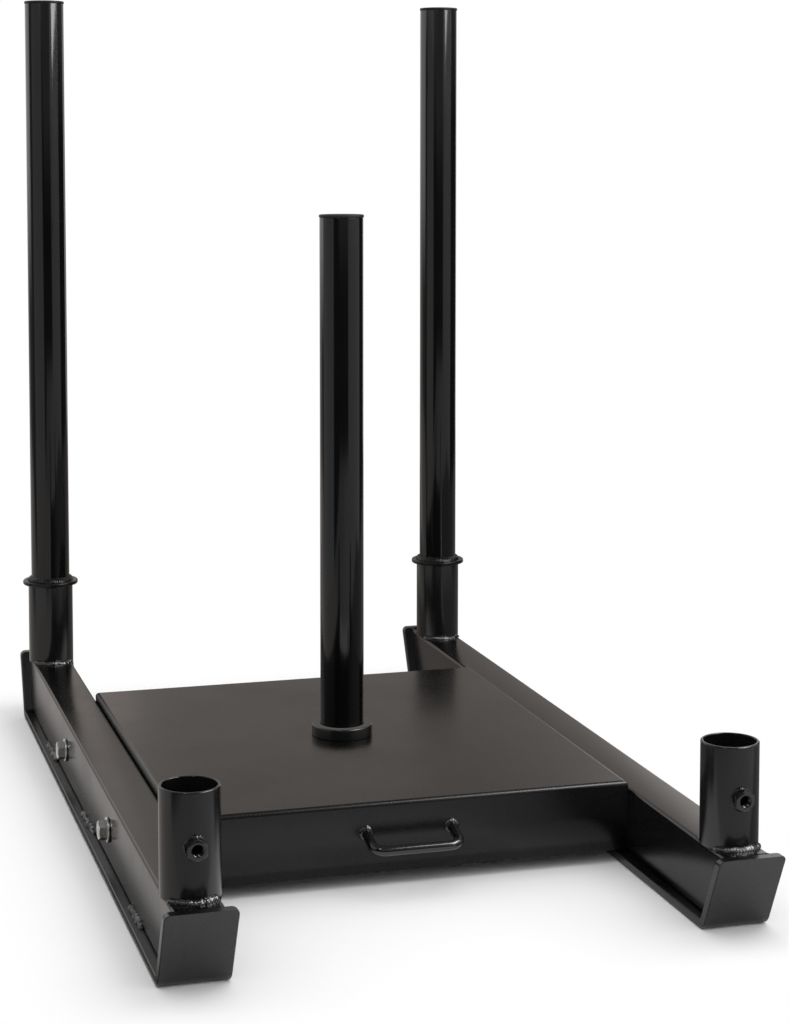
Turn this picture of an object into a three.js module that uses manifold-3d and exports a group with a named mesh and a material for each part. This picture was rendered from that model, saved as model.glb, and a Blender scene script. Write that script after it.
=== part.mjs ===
// Push sled: two runners, a folded deck tray bolted between them, four post sockets,
// two push posts that lift out of the rear sockets, and a fixed post for weight plates.
// Millimetres, +Z up. The origin lies on the floor under the middle of the runners.
// The front, with the pull handle, is towards -Y.
import * as THREE from "three";
import { mergeVertices } from "three/addons/utils/BufferGeometryUtils.js";
import Module from "manifold-3d";

const wasm = await Module();
wasm.setup();

const mm = 1;
const deg = Math.PI / 180;

// Clearances
const seatGap = 0.3 * mm; // between pieces that rest on, lie against or fit into each other
const overrun = 6 * mm; // how far a cutting body runs past what it cuts

// Runner skids: flat bar with a bent end butt-welded to each end of it
const runnerSpacing = 540 * mm; // between the centre lines of the two runners
const footLength = 996 * mm; // between the corners under the two bends
const skidWidth = 70 * mm;
const skidThickness = 10 * mm;
const skidBendRadius = 6 * mm; // inside the bend
const skidEndFoot = 60 * mm; // from the corner under the bend to the butt weld
const endPlateRise = 82 * mm; // from the floor to the level top of the bent end
const endPlateLean = 26.5 * deg; // from upright, outwards
const endPlateCornerRadius = 8 * mm;

// Rails: box section standing on the skids, mitred against the bent ends
const railWidth = 50 * mm;
const railHeight = 70 * mm;
const railWall = 3 * mm;
const railCornerRadius = 4 * mm;

// Post sockets: round tube on the rails, near their ends
const socketDiameter = 58 * mm;
const socketWall = 3 * mm;
const socketHeight = 103 * mm;
const socketInset = 45.5 * mm; // from the end of the rail's top to the socket's axis

// Push posts: tube with a flange that rests on the socket's rim
const postDiameter = 50 * mm;
const postWall = 2 * mm;
const postLength = 867 * mm;
const postFootGap = 2 * mm; // between the post's lower end and the rail
const postFlangeDiameter = 72 * mm;
const postFlangeThickness = 5 * mm;
const postFlangeEdgeRadius = 1.5 * mm;

// Plastic caps in the tops of all three posts
const capThickness = 3 * mm;
const capOverhang = 0.7 * mm; // of the cap's rim past the tube
const capChamfer = 0.8 * mm;
const capSpigotLength = 18 * mm;
const capSpigotWall = 3 * mm;

// Deck tray: one sheet with four flanges folded down
const deckRise = 8 * mm; // from the rails' tops to the deck's top
const deckLength = 540 * mm;
const deckForwardShift = 12 * mm; // from the runners' middle to the deck's middle, towards the front
const deckDepth = 74 * mm;
const deckSheet = 3 * mm;
const deckBendRadius = 5 * mm; // outside the bend
const deckSeamWidth = 1.5 * mm; // open seam between two flanges at a corner

// Pull handle: bent rod on the deck's front flange
const handleRodDiameter = 10 * mm;
const handleWidth = 93 * mm; // between the legs' centre lines
const handleReach = 37 * mm;
const handleBendRadius = 13 * mm; // of the rod's centre line
const handleDrop = 31.5 * mm; // from the deck's top to the legs' roots
const handleTilt = 14 * deg; // below level

// Weight post: stands in a collar at the deck's middle, screwed from below
const weightPostLength = 596 * mm;
const collarDiameter = 70 * mm;
const collarHeight = 12.5 * mm;
const collarChamfer = 1.5 * mm;
const postFootThickness = 12 * mm;
const backingPlateSize = 110 * mm;
const backingPlateThickness = 5 * mm;
const backingPlateCornerRadius = 10 * mm;

// Screws, nuts and washers, all of one thread size
const boltDiameter = 12.7 * mm;
const threadRootDiameter = 10.2 * mm; // threads are drawn as plain rounds: outside at the root,
const nutBoreDiameter = 10.8 * mm; // inside at the crest
const boltHoleDiameter = 14 * mm;
const hexAcrossFlats = 19 * mm;
const boltHeadHeight = 8.5 * mm;
const nutHeight = 11 * mm;
const hexChamfer = 0.5 * mm; // taken off the flats at a hexagon's end
const hexChamferLean = 30 * deg;
const boltEndChamfer = 1.2 * mm;
const boltEndPast = 4 * mm; // a bolt's end stands this far out of its nut
const washerDiameter = 27 * mm;
const washerThickness = 2.4 * mm;
const railBoltSpacing = 320 * mm; // along the rail, about the runners' middle
const socketNutStandOff = 8.5 * mm; // from the socket's skin to the nut's outer face, on the axis
const clampScrewLength = 20 * mm; // under the head

// Colours and finish
const coatColour = 0x1b1b1c;
const plasticColour = 0x161616;
const zincColour = 0xc9ccd0;

// Facets
const tubeSides = 36;
const hardwareSides = 18;
const rodSides = 16;
const hexSides = 6;
const hexChamferSides = 3 * hexSides;
const arcSteps = 6;

// Places worked out from the sizes above
const leanTan = Math.tan(endPlateLean);
const leanCos = Math.cos(endPlateLean);
const railBottom = skidThickness + seatGap;
const railTop = railBottom + railHeight;
const railEnd = footLength / 2 + railTop * leanTan - (skidThickness + seatGap) / leanCos;
const socketBase = railTop + seatGap;
const socketTop = socketBase + socketHeight;
const socketNutHeight = socketHeight / 2; // above the socket's base
const socketAxis = railEnd - socketInset; // from the runners' middle, along the runner
const runnerAxis = runnerSpacing / 2;
const deckTop = railTop + deckRise;
const deckWidth = runnerSpacing - railWidth - 2 * seatGap;
const deckFront = -deckForwardShift - deckLength / 2;
const railBoltHeight = railBottom + railHeight / 2;
const socketRadius = socketDiameter / 2;
const socketBoreRadius = socketRadius - socketWall;
const postRadius = postDiameter / 2;
const postBoreRadius = postRadius - postWall;
const hexCornerRadius = hexAcrossFlats / Math.sqrt(3);

// Geometry helpers. Each returns a BufferGeometry in its own frame.

// An outline of [a, b] points as a Shape
function outline(points) {
  return new THREE.Shape(points.map(([a, b]) => new THREE.Vector2(a, b)));
}

// A shape drawn in the plane of two axes, extruded along the third from low to high
function extrude(shape, axis, low, high) {
  const geometry = new THREE.ExtrudeGeometry(shape, {
    depth: high - low,
    bevelEnabled: false,
    curveSegments: arcSteps / 2,
  });
  const x = new THREE.Vector3(1, 0, 0);
  const y = new THREE.Vector3(0, 1, 0);
  const z = new THREE.Vector3(0, 0, 1);
  const frame = new THREE.Matrix4();
  if (axis === "x") frame.makeBasis(y, z, x).setPosition(low, 0, 0);
  if (axis === "y") frame.makeBasis(x, z, y.negate()).setPosition(0, high, 0);
  if (axis === "z") frame.setPosition(0, 0, low);
  return geometry.applyMatrix4(frame);
}

// A profile of [radius, height] points, drawn outside upwards, turned about +Z
function turn(profile, sides) {
  const points = profile.map(([r, h]) => new THREE.Vector2(r, h));
  return new THREE.LatheGeometry(points, sides).rotateX(90 * deg);
}

function turnedRod(radius, low, high, sides) {
  return turn([[0, low], [radius, low], [radius, high], [0, high]], sides);
}

function turnedTube(inner, outer, low, high, sides) {
  return turn([[inner, low], [outer, low], [outer, high], [inner, high], [inner, low]], sides);
}

// A rectangle centred on the origin with four round corners
function roundedRectangle(width, height, radius) {
  const w = width / 2;
  const h = height / 2;
  const shape = new THREE.Shape();
  shape.absarc(w - radius, h - radius, radius, 0, 90 * deg);
  shape.absarc(radius - w, h - radius, radius, 90 * deg, 180 * deg);
  shape.absarc(radius - w, radius - h, radius, 180 * deg, 270 * deg);
  shape.absarc(w - radius, radius - h, radius, 270 * deg, 360 * deg);
  shape.closePath();
  return shape;
}

// A rectangle about the first axis, from low to high on the second, round at its two high corners
function roundTopped(width, low, high, radius) {
  const w = width / 2;
  const shape = new THREE.Shape();
  shape.moveTo(-w, low);
  shape.lineTo(w, low);
  shape.absarc(w - radius, high - radius, radius, 0, 90 * deg);
  shape.absarc(radius - w, high - radius, radius, 90 * deg, 180 * deg);
  shape.closePath();
  return shape;
}

// A block between two opposite corners
function block(from, to) {
  const size = from.map((v, i) => Math.abs(to[i] - v));
  const middle = from.map((v, i) => (v + to[i]) / 2);
  return new THREE.BoxGeometry(...size).translate(...middle);
}

// Boolean cuts and joins
function solid(geometry) {
  const bare = new THREE.BufferGeometry();
  bare.setAttribute("position", geometry.getAttribute("position").clone());
  if (geometry.index) bare.setIndex(geometry.index.clone());
  const merged = mergeVertices(bare);
  return new wasm.Manifold(new wasm.Mesh({
    numProp: 3,
    vertProperties: new Float32Array(merged.getAttribute("position").array),
    triVerts: new Uint32Array(merged.index.array),
  }));
}

function geometryOf(manifold) {
  const mesh = manifold.getMesh();
  const geometry = new THREE.BufferGeometry();
  geometry.setAttribute("position", new THREE.BufferAttribute(mesh.vertProperties, 3));
  geometry.setIndex(new THREE.BufferAttribute(mesh.triVerts, 1));
  geometry.computeVertexNormals();
  return geometry;
}

function cut(body, ...tools) {
  return geometryOf(tools.reduce((left, tool) => left.subtract(solid(tool)), solid(body)));
}

function common(first, second) {
  return geometryOf(solid(first).intersect(solid(second)));
}

function join(first, second) {
  return geometryOf(solid(first).add(solid(second)));
}

// Runners

// One end of the line that runs at a depth inside the bent bar: round the bend and up the bent end.
// Points are [y, z], and the other end is its mirror image.
function bentEnd(depth, top) {
  const outerRadius = skidBendRadius + skidThickness;
  const centreY = footLength / 2 + outerRadius * leanTan - outerRadius / leanCos;
  const radius = outerRadius - depth;
  const points = [];
  for (let i = 0; i <= arcSteps; i += 1) {
    const angle = (i / arcSteps) * (90 * deg - endPlateLean);
    points.push([centreY + radius * Math.sin(angle), outerRadius - radius * Math.cos(angle)]);
  }
  points.push([footLength / 2 + top * leanTan - depth / leanCos, top]);
  return points;
}

function bothEnds(depth, top) {
  const front = bentEnd(depth, top).map(([y, z]) => [-y, z]).reverse();
  return [...front, ...bentEnd(depth, top)];
}

// The flat bar between the two butt welds
function skidGeometry() {
  const half = skidWidth / 2;
  const reach = footLength / 2 - skidEndFoot;
  return block([-half, -reach, 0], [half, reach, skidThickness]);
}

// The bent end towards +Y, with its foot flat on the floor
function skidEndGeometry() {
  const half = skidWidth / 2;
  const weld = footLength / 2 - skidEndFoot + seatGap;
  const outer = [[weld, 0], ...bentEnd(0, endPlateRise)];
  const inner = [[weld, skidThickness], ...bentEnd(skidThickness, endPlateRise)].reverse();
  const bar = extrude(outline([...outer, ...inner]), "x", -half, half);
  const tip = footLength / 2 + endPlateRise * leanTan + overrun;
  const rounded = roundTopped(skidWidth, -overrun, endPlateRise, endPlateCornerRadius);
  return common(bar, extrude(rounded, "y", 0, tip));
}

function railGeometry() {
  const section = roundedRectangle(railWidth, railHeight, railCornerRadius);
  const boreWidth = railWidth - 2 * railWall;
  const boreHeight = railHeight - 2 * railWall;
  section.holes.push(roundedRectangle(boreWidth, boreHeight, railCornerRadius - railWall));
  const reach = railEnd + overrun;
  const tube = extrude(section, "y", -reach, reach).translate(0, 0, railBottom + railHeight / 2);
  const side = outline(bothEnds(skidThickness + seatGap, railTop + overrun));
  const mitred = common(tube, extrude(side, "x", -railWidth, railWidth));
  const holes = [-railBoltSpacing / 2, railBoltSpacing / 2].map((y) =>
    turnedRod(boltHoleDiameter / 2, -railWidth, railWidth, hardwareSides)
      .rotateY(90 * deg)
      .translate(0, y, railBoltHeight));
  return cut(mitred, ...holes);
}

// The socket stands on the origin, with its screw hole towards -Y
function socketGeometry() {
  const tube = turnedTube(socketBoreRadius, socketRadius, 0, socketHeight, tubeSides);
  const hole = turnedRod(boltHoleDiameter / 2, 0, socketRadius + overrun, hardwareSides)
    .rotateX(90 * deg)
    .translate(0, 0, socketNutHeight);
  return cut(tube, hole);
}

// Screws and nuts: axis +Z, the head's or nut's seat at the origin

// A hexagon with a corner towards +X, chamfered at its high end and at its low end if asked
function hexBlank(height, lowChamfer) {
  const hexagon = new THREE.CylinderGeometry(hexCornerRadius, hexCornerRadius, height, hexSides)
    .rotateX(90 * deg)
    .rotateZ(90 * deg)
    .translate(0, 0, height / 2);
  const face = hexAcrossFlats / 2 - hexChamfer;
  const wide = hexCornerRadius + hexChamfer;
  const slope = (wide - face) * Math.tan(hexChamferLean);
  const low = lowChamfer ? [[face, 0], [wide, slope]] : [[wide, 0]];
  const profile = [[0, 0], ...low, [wide, height - slope], [face, height], [0, height]];
  return common(hexagon, turn(profile, hexChamferSides));
}

// The head lies above the origin and the shank runs down from it
function boltGeometry(plainLength, threadLength) {
  const end = -plainLength - threadLength;
  const root = threadRootDiameter / 2;
  const lead = [[0, end], [root - boltEndChamfer, end], [root, end + boltEndChamfer]];
  const inHead = boltHeadHeight / 2;
  const neck = plainLength > 0 ? boltDiameter / 2 : root;
  const step = plainLength > 0 ? [[root, -plainLength], [neck, -plainLength]] : [];
  const shank = turn([...lead, ...step, [neck, inHead], [0, inHead]], hardwareSides);
  return join(hexBlank(boltHeadHeight, false), shank);
}

function nutGeometry() {
  const bore = turnedRod(nutBoreDiameter / 2, -overrun, nutHeight + overrun, hardwareSides);
  return cut(hexBlank(nutHeight, true), bore);
}

// A nut whose back is hollowed to lie on the socket's round skin, with a corner towards +Y.
// The nut's face looks along +Z.
function socketNutGeometry() {
  const axisDepth = nutHeight - socketNutStandOff - socketRadius;
  const skin = turnedRod(socketRadius + seatGap, -socketHeight, socketHeight, tubeSides)
    .rotateX(90 * deg)
    .translate(0, 0, axisDepth);
  return cut(nutGeometry().rotateZ(90 * deg), skin);
}

function washerGeometry() {
  return turnedTube(boltHoleDiameter / 2, washerDiameter / 2, 0, washerThickness, hardwareSides);
}

// Posts

function postTubeGeometry(length) {
  return turnedTube(postBoreRadius, postRadius, 0, length, tubeSides);
}

function postFlangeGeometry() {
  const outer = postFlangeDiameter / 2;
  const inner = postRadius + seatGap;
  const r = postFlangeEdgeRadius;
  const top = postFlangeThickness;
  return turn([
    [inner, 0], [outer - r, 0], [outer, r], [outer, top - r], [outer - r, top], [inner, top], [inner, 0],
  ], tubeSides);
}

// The cap's underside lies at the origin and its hollow spigot reaches down into the tube
function postCapGeometry() {
  const spigot = postBoreRadius - seatGap;
  const hollow = spigot - capSpigotWall;
  const plug = [[0, 0], [hollow, 0], [hollow, -capSpigotLength], [spigot, -capSpigotLength], [spigot, 0]];
  const rim = postRadius + capOverhang;
  const head = [[rim, 0], [rim, capThickness - capChamfer], [rim - capChamfer, capThickness]];
  return turn([...plug, ...head, [0, capThickness]], tubeSides);
}

function collarGeometry() {
  const outer = collarDiameter / 2;
  const inner = postRadius + seatGap;
  return turn([
    [inner, 0], [outer, 0], [outer, collarHeight - collarChamfer], [outer - collarChamfer, collarHeight],
    [inner, collarHeight], [inner, 0],
  ], tubeSides);
}

function postFootGeometry() {
  return turnedTube(nutBoreDiameter / 2, postBoreRadius - seatGap, 0, postFootThickness, tubeSides);
}

function backingPlateGeometry() {
  const square = roundedRectangle(backingPlateSize, backingPlateSize, backingPlateCornerRadius);
  const hole = turnedRod(boltHoleDiameter / 2, -overrun, backingPlateThickness + overrun, hardwareSides);
  return cut(extrude(square, "z", 0, backingPlateThickness), hole);
}

// Deck tray: the deck's top lies at z = 0 and its middle at the origin
function deckGeometry() {
  const w = deckWidth;
  const l = deckLength;
  const innerW = w - 2 * deckSheet;
  const innerL = l - 2 * deckSheet;
  const innerRadius = deckBendRadius - deckSheet;
  const outside = common(
    extrude(roundTopped(w, -deckDepth, 0, deckBendRadius), "y", -l / 2, l / 2),
    extrude(roundTopped(l, -deckDepth, 0, deckBendRadius), "x", -w / 2, w / 2),
  );
  const low = -deckDepth - overrun;
  const inside = common(
    extrude(roundTopped(innerW, low, -deckSheet, innerRadius), "y", -innerL / 2, innerL / 2),
    extrude(roundTopped(innerL, low, -deckSheet, innerRadius), "x", -innerW / 2, innerW / 2),
  );
  const hole = turnedRod(boltHoleDiameter / 2, -deckSheet - overrun, overrun, hardwareSides);
  const tools = [inside, hole];
  for (const side of [-1, 1]) {
    for (const end of [-1, 1]) {
      // The seam is a slot through the side flange, next to the front or rear flange
      const seamY = end * innerL / 2;
      const seamFrom = [side * (innerW / 2 - seatGap), seamY - end * deckSeamWidth, low];
      tools.push(block(seamFrom, [side * (w / 2 + overrun), seamY, -deckBendRadius]));
      const boltHole = hole.clone().rotateY(side * 90 * deg);
      const boltY = deckForwardShift + end * railBoltSpacing / 2;
      tools.push(boltHole.translate(side * w / 2, boltY, railBoltHeight - deckTop));
    }
  }
  return cut(outside, ...tools);
}

// The handle's centre line in the plane z = 0: out along one leg, across and back along the other.
// The parameter runs evenly over the steps, one along each straight and arcSteps round each bend.
class HandleLine extends THREE.Curve {
  constructor(root) {
    super();
    const half = handleWidth / 2;
    const x = half - handleBendRadius;
    const y = handleReach - handleBendRadius;
    const round = (centre, angle) => [
      centre + handleBendRadius * Math.cos(angle),
      y + handleBendRadius * Math.sin(angle),
    ];
    this.pieces = [
      { steps: 1, at: (part) => [-half, root + part * (y - root)] },
      { steps: arcSteps, at: (part) => round(-x, 180 * deg - part * 90 * deg) },
      { steps: 1, at: (part) => [part * 2 * x - x, handleReach] },
      { steps: arcSteps, at: (part) => round(x, 90 * deg - part * 90 * deg) },
      { steps: 1, at: (part) => [half, y - part * (y - root)] },
    ];
    this.steps = this.pieces.reduce((sum, piece) => sum + piece.steps, 0);
  }

  getPoint(t, target = new THREE.Vector3()) {
    let left = t * this.steps;
    let index = 0;
    while (index < this.pieces.length - 1 && left > this.pieces[index].steps) {
      left -= this.pieces[index].steps;
      index += 1;
    }
    const piece = this.pieces[index];
    const [x, y] = piece.at(left / piece.steps);
    return target.set(x, y, 0);
  }

  getPointAt(u, target) {
    return this.getPoint(u, target);
  }

  getTangentAt(u, target) {
    return this.getTangent(u, target);
  }
}

// The handle's legs start on the deck's front flange, at y = 0, and reach towards -Y
function handleGeometry() {
  const section = new THREE.Shape().absarc(0, 0, handleRodDiameter / 2, 0, 360 * deg);
  const line = new HandleLine(-handleRodDiameter);
  const rod = new THREE.ExtrudeGeometry(section, {
    steps: line.steps,
    curveSegments: rodSides / 2,
    extrudePath: line,
  });
  rod.rotateZ(180 * deg).rotateX(handleTilt);
  const far = handleWidth + handleReach;
  return cut(rod, block([-far, -seatGap, -far], [far, far, far]));
}

// Materials
function coated() {
  return new THREE.MeshStandardMaterial({ color: coatColour, roughness: 0.3, metalness: 0 });
}

function plastic() {
  return new THREE.MeshStandardMaterial({ color: plasticColour, roughness: 0.5, metalness: 0 });
}

function zincPlated() {
  return new THREE.MeshStandardMaterial({ color: zincColour, roughness: 0.35, metalness: 1 });
}

function place(parent, name, geometry, material, position, rotation = [0, 0, 0]) {
  const mesh = new THREE.Mesh(geometry, material);
  mesh.name = name;
  mesh.position.set(...position);
  mesh.rotation.set(...rotation);
  parent.add(mesh);
}

// Assembly
const sled = new THREE.Group();
const sides = [["left", -1], ["right", 1]];
const ends = [["front", -1], ["rear", 1]];
const railBoltGrip = washerThickness + railWidth + deckSheet + washerThickness + 4 * seatGap;

for (const [side, sideSign] of sides) {
  const runner = new THREE.Group();
  runner.position.set(sideSign * runnerAxis, 0, 0);
  sled.add(runner);
  place(runner, `${side}_skid`, skidGeometry(), coated(), [0, 0, 0]);
  place(runner, `${side}_rail`, railGeometry(), coated(), [0, 0, 0]);

  for (const [end, endSign] of ends) {
    const station = new THREE.Group();
    station.position.set(0, endSign * socketAxis, socketBase);
    station.rotation.set(0, 0, endSign > 0 ? 180 * deg : 0);
    runner.add(station);
    place(runner, `${side}_${end}_skid_end`, skidEndGeometry(), coated(),
      [0, 0, 0], [0, 0, endSign < 0 ? 180 * deg : 0]);
    const nutFace = socketRadius + socketNutStandOff;
    const socket = `${end}_${side}_socket`;
    place(station, socket, socketGeometry(), coated(), [0, 0, 0]);
    place(station, `${socket}_nut`, socketNutGeometry(), coated(),
      [0, nutHeight - nutFace, socketNutHeight], [90 * deg, 0, 0]);
    if (end === "rear") {
      const screwSeat = postRadius + seatGap + clampScrewLength;
      place(station, `${side}_clamp_screw`, boltGeometry(0, clampScrewLength), zincPlated(),
        [0, -screwSeat, socketNutHeight], [90 * deg, 0, 0]);
    }

    // Rail bolts run inwards through the rail and the deck's side flange
    const bolt = new THREE.Group();
    bolt.position.set(sideSign * railWidth / 2, endSign * railBoltSpacing / 2, railBoltHeight);
    bolt.rotation.set(0, sideSign * 90 * deg, 0);
    runner.add(bolt);
    const name = `${side}_${end}_rail`;
    const headSeat = seatGap + washerThickness + seatGap;
    const innerWasher = -railWidth - deckSheet - 2 * seatGap - washerThickness;
    const nutSeat = innerWasher - seatGap - nutHeight;
    place(bolt, `${name}_washer_outer`, washerGeometry(), zincPlated(), [0, 0, seatGap]);
    place(bolt, `${name}_bolt`, boltGeometry(railBoltGrip, seatGap + nutHeight + boltEndPast), zincPlated(),
      [0, 0, headSeat]);
    place(bolt, `${name}_washer_inner`, washerGeometry(), zincPlated(), [0, 0, innerWasher]);
    place(bolt, `${name}_nut`, nutGeometry(), zincPlated(), [0, 0, nutSeat]);
  }

  // Push post in the rear socket
  const post = new THREE.Group();
  post.position.set(sideSign * runnerAxis, socketAxis, railTop + postFootGap);
  sled.add(post);
  const flangeSeat = socketTop + seatGap - railTop - postFootGap;
  place(post, `${side}_post_tube`, postTubeGeometry(postLength), coated(), [0, 0, 0]);
  place(post, `${side}_post_flange`, postFlangeGeometry(), coated(), [0, 0, flangeSeat]);
  place(post, `${side}_post_cap`, postCapGeometry(), plastic(), [0, 0, postLength + seatGap]);
}

const deck = new THREE.Group();
deck.position.set(0, -deckForwardShift, deckTop);
sled.add(deck);
place(deck, "deck_tray", deckGeometry(), coated(), [0, 0, 0]);
place(deck, "weight_post_collar", collarGeometry(), coated(), [0, 0, seatGap]);
place(deck, "weight_post_tube", postTubeGeometry(weightPostLength), coated(), [0, 0, seatGap]);
place(deck, "weight_post_cap", postCapGeometry(), plastic(), [0, 0, seatGap + weightPostLength + seatGap]);
place(deck, "weight_post_foot", postFootGeometry(), coated(), [0, 0, seatGap]);
const backingPlateBottom = -deckSheet - seatGap - backingPlateThickness;
const deckWasherBottom = backingPlateBottom - seatGap - washerThickness;
const deckBoltSeat = deckWasherBottom - seatGap;
place(deck, "weight_post_backing_plate", backingPlateGeometry(), coated(), [0, 0, backingPlateBottom]);
place(deck, "weight_post_washer", washerGeometry(), zincPlated(), [0, 0, deckWasherBottom]);
place(deck, "weight_post_bolt", boltGeometry(-deckBoltSeat, seatGap + postFootThickness), zincPlated(),
  [0, 0, deckBoltSeat], [180 * deg, 0, 0]);

place(sled, "pull_handle", handleGeometry(), coated(), [0, deckFront, deckTop - handleDrop]);

export default sled;
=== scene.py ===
"""Looks, light and camera of the push sled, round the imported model.
Metres in the scene, millimetres in the part's sizes. +Z is up, and the pull handle is towards -Y."""
import math

import bmesh
import bpy
from mathutils import Matrix, Vector, noise


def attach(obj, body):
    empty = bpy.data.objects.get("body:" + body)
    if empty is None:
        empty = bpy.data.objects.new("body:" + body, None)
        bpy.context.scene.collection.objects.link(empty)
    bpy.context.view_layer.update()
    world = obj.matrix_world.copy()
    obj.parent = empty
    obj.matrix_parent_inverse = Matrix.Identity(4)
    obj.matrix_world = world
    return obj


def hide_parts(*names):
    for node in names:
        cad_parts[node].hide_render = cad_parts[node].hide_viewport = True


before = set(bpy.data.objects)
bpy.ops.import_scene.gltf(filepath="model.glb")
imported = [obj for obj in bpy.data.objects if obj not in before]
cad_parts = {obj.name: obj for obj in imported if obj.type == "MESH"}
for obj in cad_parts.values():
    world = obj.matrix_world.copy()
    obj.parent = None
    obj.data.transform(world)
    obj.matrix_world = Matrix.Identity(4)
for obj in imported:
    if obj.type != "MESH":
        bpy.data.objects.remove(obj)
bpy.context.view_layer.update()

MM = 0.001
SIDES = (("left", -1), ("right", 1))
ENDS = (("front", -1), ("rear", 1))
SHARP, BEVELLED_SHARP = 32.0, 60.0  # degrees from which an edge stays sharp

# Sizes of the part, in millimetres
GAP = 0.3  # between solids that are welded or pressed together
FOOT = 498.0  # from the runners' middle to the corner under a bend
LEAN = math.radians(26.5)  # of the skids' bent ends
BEND = 16.0  # the bends' outer radius
SKID_WIDTH, SKID_THICK, SKID_TOP = 70.0, 10.0, 82.0
SKID_CORNER, SKID_ARRIS = 6.0, 1.3
RUNNER_X = 270.0
RAIL_WIDTH, RAIL_HEIGHT, RAIL_CORNER = 50.0, 70.0, 4.0
RAIL_BOTTOM = SKID_THICK + GAP
RAIL_TOP = RAIL_BOTTOM + RAIL_HEIGHT
RAIL_MIDDLE = (RAIL_BOTTOM + RAIL_TOP) / 2
BOLT_Y, BOLT_RADIUS = 160.0, 6.35
SOCKET_Y = 481.03
SOCKET_BORE, SOCKET_RADIUS, SOCKET_HEIGHT = 26.0, 29.0, 103.0
SOCKET_BASE = RAIL_TOP + GAP
SOCKET_TOP = SOCKET_BASE + SOCKET_HEIGHT
SCREW_HEIGHT = 51.5  # of a clamp screw's axis over its socket's foot
SCREW_Z = SOCKET_BASE + SCREW_HEIGHT
SCREW_HOLE, SCREW_REACH = 7.0, 20.0
DECK_WIDTH, DECK_LENGTH, DECK_DEPTH = 489.4, 540.0, 74.0
DECK_TOP, DECK_Y = 88.3, -12.0
DECK_BEND, DECK_SHEET = 5.0, 3.0
POST_BORE, POST_RADIUS = 23.0, 25.0
POST_EYE = POST_RADIUS + GAP  # the bore of what a post stands in
PUSH_POST, WEIGHT_POST = 867.0, 596.0  # the tubes' lengths
FLANGE_RADIUS, FLANGE_THICK = 36.0, 5.0
COLLAR_RADIUS, COLLAR_HEIGHT = 35.0, 12.5
PLATE_SIZE, PLATE_THICK, PLATE_CORNER = 110.0, 5.0, 10.0
HEX_ACROSS, HEX_HEAD, HEX_NUT, SOCKET_NUT = 19.0, 8.5, 11.0, 9.5
WASHER = 2.4
THREAD_ROOT, THREAD_CREST, THREAD_PITCH = 5.1, 6.1, 1.95
HANDLE_HALF, HANDLE_REACH, HANDLE_BEND, HANDLE_ROD = 46.5, 37.0, 13.0, 5.0
HANDLE_Z = DECK_TOP - 31.5
BEAD_STEP = 0.5  # between the points of a bead's path


# Mesh helpers

def along(x=0.0, y=0.0, z=0.0, turn=(0.0, 0.0, 0.0)):
    """A place in millimetres and a turn in degrees, as a matrix in metres."""
    spin = Matrix.Rotation(math.radians(turn[2]), 4, "Z")
    spin = spin @ Matrix.Rotation(math.radians(turn[1]), 4, "Y")
    spin = spin @ Matrix.Rotation(math.radians(turn[0]), 4, "X")
    return Matrix.Translation((x * MM, y * MM, z * MM)) @ spin


def moved(points, place):
    """Points in millimetres, carried to a place."""
    return [tuple((place @ (Vector(p) * MM)) / MM) for p in points]


def linked(name, data):
    """A new object in the scene."""
    obj = bpy.data.objects.new(name, data)
    bpy.context.scene.collection.objects.link(obj)
    return obj


def filled(mesh, shape):
    """Puts a shape, (verts in mm, faces), in a mesh in metres, and opens it with its faces turned out."""
    verts, faces = shape
    mesh.from_pydata([[c * MM for c in v] for v in verts], [], faces)
    bm = bmesh.new()
    bm.from_mesh(mesh)
    bmesh.ops.remove_doubles(bm, verts=bm.verts, dist=1e-6)
    bmesh.ops.recalc_face_normals(bm, faces=bm.faces)
    return bm


def piece(name, shape, material, body, nodes=(), place=None, bevel=0.0, sharp=SHARP):
    """A mesh object from a shape, smooth but for its sharp edges, which a bevel in mm rounds off if asked."""
    mesh = bpy.data.meshes.new(name)
    bm = filled(mesh, shape)
    if bevel:
        edges = [e for e in bm.edges if len(e.link_faces) == 2 and e.calc_face_angle() > math.radians(SHARP)]
        bmesh.ops.bevel(bm, geom=edges, offset=bevel * MM, offset_type="OFFSET", segments=3, profile=0.6,
                        affect="EDGES", clamp_overlap=True)
    for face in bm.faces:
        face.smooth = True
    if place is not None:
        bm.transform(place)
    bm.to_mesh(mesh)
    bm.free()
    mesh.set_sharp_from_angle(angle=math.radians(BEVELLED_SHARP if bevel else sharp))
    mesh.materials.append(material)
    obj = linked(name, mesh)
    if bevel:
        weighted = obj.modifiers.new("weighted", "WEIGHTED_NORMAL")
        weighted.keep_sharp = True
    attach(obj, body)
    if nodes:
        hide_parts(*nodes)
    return obj


def fillet(points, radii, steps=4):
    """A closed profile with its corners rounded: radii by corner, 0 for a sharp one."""
    out = []
    count = len(points)
    for i, (point, radius) in enumerate(zip(points, radii)):
        here = Vector(point)
        if not radius:
            out.append(tuple(here))
            continue
        before = (Vector(points[i - 1]) - here).normalized()
        after = (Vector(points[(i + 1) % count]) - here).normalized()
        half = before.angle(after) / 2
        reach = radius / math.tan(half)
        centre = here + (before + after).normalized() * (radius / math.sin(half))
        start, end = here + before * reach - centre, here + after * reach - centre
        for k in range(steps + 1):
            arm = start.lerp(end, k / steps).normalized() * radius
            out.append(tuple(centre + arm))
    return out


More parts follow.
